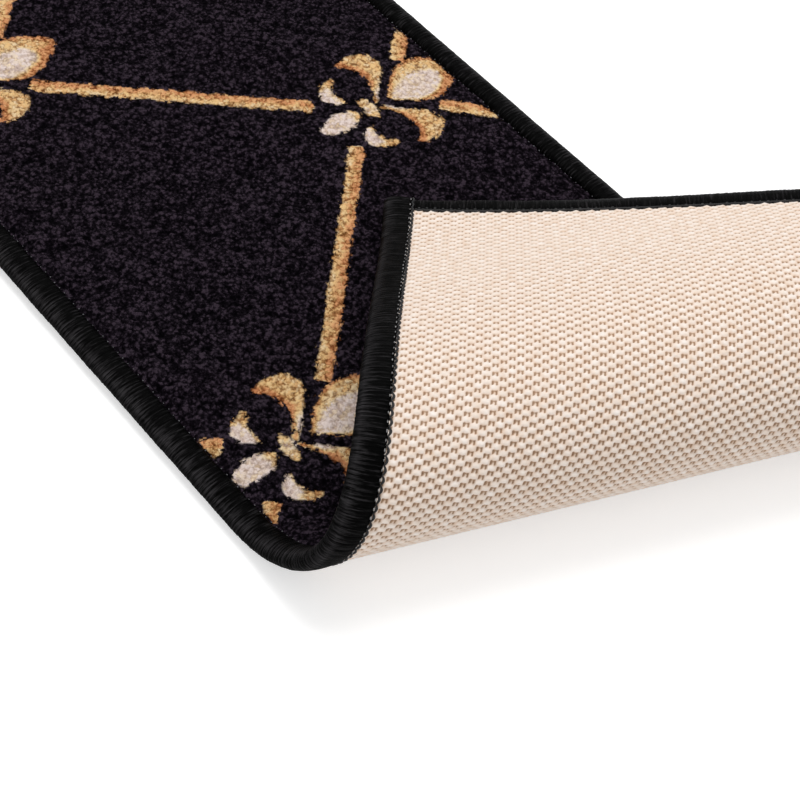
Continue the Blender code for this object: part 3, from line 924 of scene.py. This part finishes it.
def roll_along(side):
    """The roll's rings along a bound edge, with each ring's height on its wrap and its place."""
    roll = np.array(ROLL) * MM
    middle_up = roll[:, 1].mean()
    away = roll - roll.mean(0)
    away = away / np.linalg.norm(away, axis=1)[:, None]
    half_width = BINDING_WIDTH / 2
    ridge, grow = wrap_growth(round(side.length / STITCH_PITCH) * WRAPS_A_STITCH)
    place = np.linspace(0.0, side.length, len(ridge))
    from_end = np.minimum(place, side.length - place)[:, None]
    grown = roll + away * grow[:, None, None]
    narrow = 1.0 - CORNER_RADIUS / half_width * (1.0 - round_end(from_end, CORNER_RADIUS))
    reach = half_width + (grown[..., 0] - half_width) * narrow
    flatten = np.maximum(round_end(from_end, END_ROUND), END_THICKNESS)
    up = middle_up + (grown[..., 1] - middle_up) * flatten
    if side.kind != "long":
        set_in = between(END_SET_IN, END_SET_IN_MIDDLE, smooth(from_end, 0.0, END_MIDDLE_FROM))
        reach = set_in + reach * (1.0 - set_in / BINDING_WIDTH)
    if side.kind == "turned over":
        lift = np.interp(place, LIFT_PLACES, LIFT_RISES)[:, None]
        up = up - lift * (1.0 - reach / BINDING_WIDTH)
    slant = WRAP_SLANT * (roll[:, 1] - middle_up) / (BINDING_TOP - BINDING_BOTTOM)
    spot = place[:, None] + slant * smooth(from_end, 0.0, END_ROUND)
    flat = side.start + spot[..., None] * side.way - reach[..., None] * side.out
    return np.concatenate([flat, up[..., None]], axis=2), ridge, place


def make_binding():
    """A roll of yarn wraps along each edge, rounded off at its ends."""
    count = len(ROLL)
    around = np.arange(count)
    # A painted highlight in two bands, one on each side of the roll's outermost point
    painted_highlight = np.exp(-(((np.abs(around - OUTER_POINT) - HIGHLIGHT_OFF) / HIGHLIGHT_POINTS) ** 2))
    parts, wraps, ridges, painted_highlights = [], [], [], []
    for side in bound_sides():
        rings, ridge, place = roll_along(side)
        parts.append(tube(rings))
        wrap = np.broadcast_arrays(place[:, None] / MM, around * ROLL_GIRTH / count, 0.0)
        wraps.append(for_tube(np.stack(wrap, axis=-1).reshape(-1, 3)))
        ridges.append(for_tube(np.repeat(ridge, count)))
        painted_highlights.append(for_tube(np.tile(painted_highlight, len(ridge))))
    points, faces = joined(parts)
    kept = [(key, np.concatenate(v)) for key, v in (("wrap", wraps), ("ridge", ridges), ("painted_highlight", painted_highlights))]
    return make_piece("overlocked_binding", points, faces, binding_material(), kept)


# The binding's colours, and how much each part lights its yarn: the wraps' crests and two bands round the
# roll are painted highlights, the fibres and clumps vary at random
BINDING_COLOURS = ((0.53, (0, 0, 0)), (0.67, (4, 4, 4)), (0.92, (58, 56, 58)))
BINDING_FIBRE_WEIGHT = 0.9
BINDING_RIDGE_WEIGHT = 0.08
BINDING_CLUMP_WEIGHT = 0.25
BINDING_HIGHLIGHT_WEIGHT = 0.14
BINDING_FIBRE_SHAPE = (1.9, 0.16, 1.0)
BINDING_CLUMP_SHAPE = (0.6, 0.05, 1.0)


def binding_material():
    """Black yarn with fine fibres that run round the roll, with painted highlights on the wraps' crests
    and in two bands round it.
    """
    look = Shading(bpy.data.materials.new("black_binding_yarn"))
    wrap = look.attribute("wrap", "Vector")
    long_fibres = look.vector_math("MULTIPLY", wrap, BINDING_FIBRE_SHAPE)
    long_clumps = look.vector_math("MULTIPLY", wrap, BINDING_CLUMP_SHAPE)
    fibres = look.noise(long_fibres, scale=1.0, detail=5.0, roughness=0.7)
    clumps = look.noise(long_clumps, scale=1.0, detail=2.0, roughness=0.5)
    # The wraps' crests and the bands round the roll come out lighter: painted highlights
    lit = look.weighted((
        (fibres, BINDING_FIBRE_WEIGHT),
        (look.attribute("ridge"), BINDING_RIDGE_WEIGHT),
        (clumps, BINDING_CLUMP_WEIGHT),
        (look.attribute("painted_highlight"), BINDING_HIGHLIGHT_WEIGHT),
    ))
    colour = look.ramp(lit, screen_stops(BINDING_COLOURS))
    look.show({"Base Color": colour, "Roughness": 0.5, "Specular IOR Level": 0.025})
    look.bump(fibres, distance=0.0004)
    return look.owner


# Overlock chain on the back, with so many points to a stitch
CHAIN_POINTS = 6
CHAIN_SIDES = 6
CHAIN_RADIUS = 0.00042
CHAIN_THINNEST = 0.8
CHAIN_SWELL = 0.35
CHAIN_INWARD = 0.0108
CHAIN_SCALLOP = 0.0007
CHAIN_UP = -0.00030
CHAIN_COLOURS = ((0.3, (6, 6, 7)), (0.75, (34, 34, 36)))
STITCH_MARGIN = 0.0020

# Stitches on the back, the ends and the pile. Their size is half their length, width and height
BACK_STITCHES = {
    "inward": 0.0103,
    "up": -0.00062,
    "size": (0.0006, 0.00025, 0.0002),
    "colour": (168, 166, 166),
    "first": 3,
}
# The ends' stitches: the back's light thread painted darker, as shade
SHADED_END_STITCHES = {**BACK_STITCHES, "up": -0.00055, "colour": (74, 73, 74)}
PILE_STITCHES = {
    "inward": 0.0110,
    "up": 0.0053,
    "size": (0.0003, 0.00022, 0.0002),
    "colour": (120, 120, 124),
    "first": 0,
}
BEAD_SIZES = (0.75, 1.2)
BEAD_WANDER = 0.0002
BEAD_DARK_SHARE = 0.6
BEAD_STOPS = (0.3, 0.7)


def thread_material(name, stops, scale, roughness, relief):
    """A thread of fine strands."""
    look = Shading(bpy.data.materials.new(name))
    flat = look.attribute("flat", "Vector")
    strands = look.noise(flat, scale, detail=3.0, roughness=0.6)
    look.show({"Base Color": look.ramp(strands, screen_stops(stops)), "Roughness": roughness})
    look.bump(strands, relief)
    return look.owner


def stitch_line(side):
    """Places along a bound edge, with so many points to a stitch, and where in its stitch each is."""
    count = round(side.length / STITCH_PITCH) * CHAIN_POINTS
    place = np.linspace(STITCH_MARGIN, side.length - STITCH_MARGIN, count)
    return side.start + place[:, None] * side.way, (np.arange(count) % CHAIN_POINTS) / CHAIN_POINTS


def make_chain():
    """The black chain of loops along the binding's inner edge, on the woven back."""
    angle = 2 * math.pi * np.arange(CHAIN_SIDES) / CHAIN_SIDES
    parts = []
    for side in bound_sides():
        spots, phase = stitch_line(side)
        loop = np.sin(math.pi * phase)[:, None]
        thick = CHAIN_RADIUS * (CHAIN_THINNEST + CHAIN_SWELL * loop)
        reach = CHAIN_INWARD + CHAIN_SCALLOP * loop + thick * np.cos(angle)
        up = CHAIN_UP + thick * np.sin(angle)
        flat = spots[:, None] - reach[..., None] * side.out
        parts.append(tube(np.concatenate([flat, up[..., None]], axis=2)))
    points, faces = joined(parts)
    material = thread_material(
        "black_chain_thread", CHAIN_COLOURS, scale=3.0, roughness=0.6, relief=0.0002
    )
    return make_piece("overlock_chain", points, faces, material)


def make_beads(name, sides, inward, up, size, colour, first):
    """A row of small thread crossings along bound edges, one to a stitch."""
    bm = bmesh.new()
    bmesh.ops.create_icosphere(bm, subdivisions=1, radius=1.0)
    shape = np.array([v.co for v in bm.verts])
    shape_faces = [[v.index for v in f.verts] for f in bm.faces]
    bm.free()
    parts = []
    for side in sides:
        for spot in stitch_line(side)[0][first::CHAIN_POINTS]:
            local = shape * np.array(size) * RNG.uniform(*BEAD_SIZES)
            middle = spot - side.out * (inward + RNG.uniform(-BEAD_WANDER, BEAD_WANDER))
            flat = middle + local[:, :1] * side.way - local[:, 1:2] * side.out
            parts.append((np.concatenate([flat, local[:, 2:] + up], axis=1), shape_faces))
    points, faces = joined(parts)
    dark = tuple(value * BEAD_DARK_SHARE for value in colour)
    stops = tuple(zip(BEAD_STOPS, (dark, colour)))
    material = thread_material(name + "_thread", stops, scale=2.0, roughness=0.55, relief=0.0001)
    return make_piece(name, points, faces, material)


pile = make_pile()
backing = make_backing()
binding = make_binding()
chain = make_chain()
back_stitches = make_beads("back_stitches", bound_sides()[::2], **BACK_STITCHES)
shaded_end_stitches = make_beads("shaded_end_stitches", bound_sides()[1::2], **SHADED_END_STITCHES)
pile_stitches = make_beads("pile_stitches", bound_sides(), **PILE_STITCHES)

for piece, slot in (
    (pile, "dark_pile"),
    (backing, "backing_yarn"),
    (binding, "binding_yarn"),
    (chain, "binding_yarn"),
    (back_stitches, "backing_yarn"),
    (shaded_end_stitches, "binding_yarn"),
    (pile_stitches, "backing_yarn"),
):
    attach(piece, "root")
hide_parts("pile_face", *sorted(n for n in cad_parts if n.startswith(("lily_", "trellis_bar_"))))
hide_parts("woven_backing")
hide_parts("edge_binding")

# The floor: white to the camera, with the rug's shadow, and glowing more with the distance
FLOOR_SIZE = 8.0
FLOOR_UP = -0.0002
FLOOR_GREY = (0.82, 0.82, 0.82, 1.0)
WHITE = (1.0, 1.0, 1.0, 1.0)
FLOOR_GLOW_PLACES = (0.6, 2.4)
FLOOR_GLOW = (0.42, 0.75)
WORLD_LIGHT = 0.58
WORLD_SEEN = 1.0


def camera_ray(look):
    """1 where the camera sees a thing straight, and 0 in its light on other things."""
    return look.nodes.new("ShaderNodeLightPath").outputs["Is Camera Ray"]


def make_floor():
    """A large pale square under the rug."""
    mesh = bpy.data.meshes.new("floor")
    far = FLOOR_SIZE / 2
    mesh.from_pydata([(-far, -far, 0), (far, -far, 0), (far, far, 0), (-far, far, 0)], [], [(0, 1, 2, 3)])
    square = bpy.data.objects.new("floor", mesh)
    bpy.context.scene.collection.objects.link(square)
    square.location.z = FLOOR_UP
    look = Shading(bpy.data.materials.new("pale_floor"))
    place = look.nodes.new("ShaderNodeNewGeometry").outputs["Position"]
    distance = look.nodes.new("ShaderNodeVectorMath")
    distance.operation = "LENGTH"
    look.fill(distance, {0: place})
    glow = look.remap(distance.outputs["Value"], *FLOOR_GLOW_PLACES, *FLOOR_GLOW)
    seen_glow = look.number_math("MULTIPLY", camera_ray(look), glow)
    look.show({"Base Color": FLOOR_GREY, "Roughness": 1.0, "Specular IOR Level": 0.0})
    look.show({"Emission Color": WHITE, "Emission Strength": seen_glow})
    mesh.materials.append(look.owner)
    return square


floor = make_floor()

world = bpy.data.worlds.new("studio")
bpy.context.scene.world = world
sky = Shading(world, "Background")
strength = sky.remap(camera_ray(sky), 0.0, 1.0, WORLD_LIGHT, WORLD_SEEN)
sky.show({"Color": WHITE, "Strength": strength})


def area_light(name, place, aim, size, power):
    """A soft square lamp at a place, turned to what it lights."""
    data = bpy.data.lights.new(name, "AREA")
    data.shape = "SQUARE"
    data.size = size
    data.energy = power
    lamp = bpy.data.objects.new(name, data)
    lamp.location = place
    lamp.rotation_euler = (Vector(aim) - Vector(place)).to_track_quat("-Z", "Y").to_euler()
    bpy.context.scene.collection.objects.link(lamp)


area_light("key", place=(-0.35, 0.45, 1.5), aim=(0.05, 0.0, 0.0), size=0.8, power=13.9)
area_light("front", place=(0.9, -1.1, 0.9), aim=(0.1, 0.0, 0.0), size=1.0, power=4.0)

# The camera's place, measured from the rug's own corner
CAMERA_PLACE = np.array((0.634746, -0.173414, 0.472890))
CAMERA_RIGHT = Vector((0.64416227, 0.75969025, 0.08902636))
CAMERA_UP = -Vector((0.65110625, -0.48353293, -0.58502697))
CAMERA_BACK = -Vector((-0.40139211, 0.43481792, -0.80611274))
LENS = 73.34
SENSOR = 36.0
NEAREST_SEEN = 0.01
camera_data = bpy.data.cameras.new("camera")
camera_data.lens = LENS
camera_data.sensor_width = SENSOR
camera_data.clip_start = NEAREST_SEEN
camera = bpy.data.objects.new("camera", camera_data)
turn = Matrix((CAMERA_RIGHT, CAMERA_UP, CAMERA_BACK)).transposed().to_4x4()
camera.matrix_world = Matrix.Translation(CAMERA_PLACE + SHIFT) @ turn
bpy.context.scene.collection.objects.link(camera)
bpy.context.scene.camera = camera
bpy.context.scene.view_settings.view_transform = "Standard"
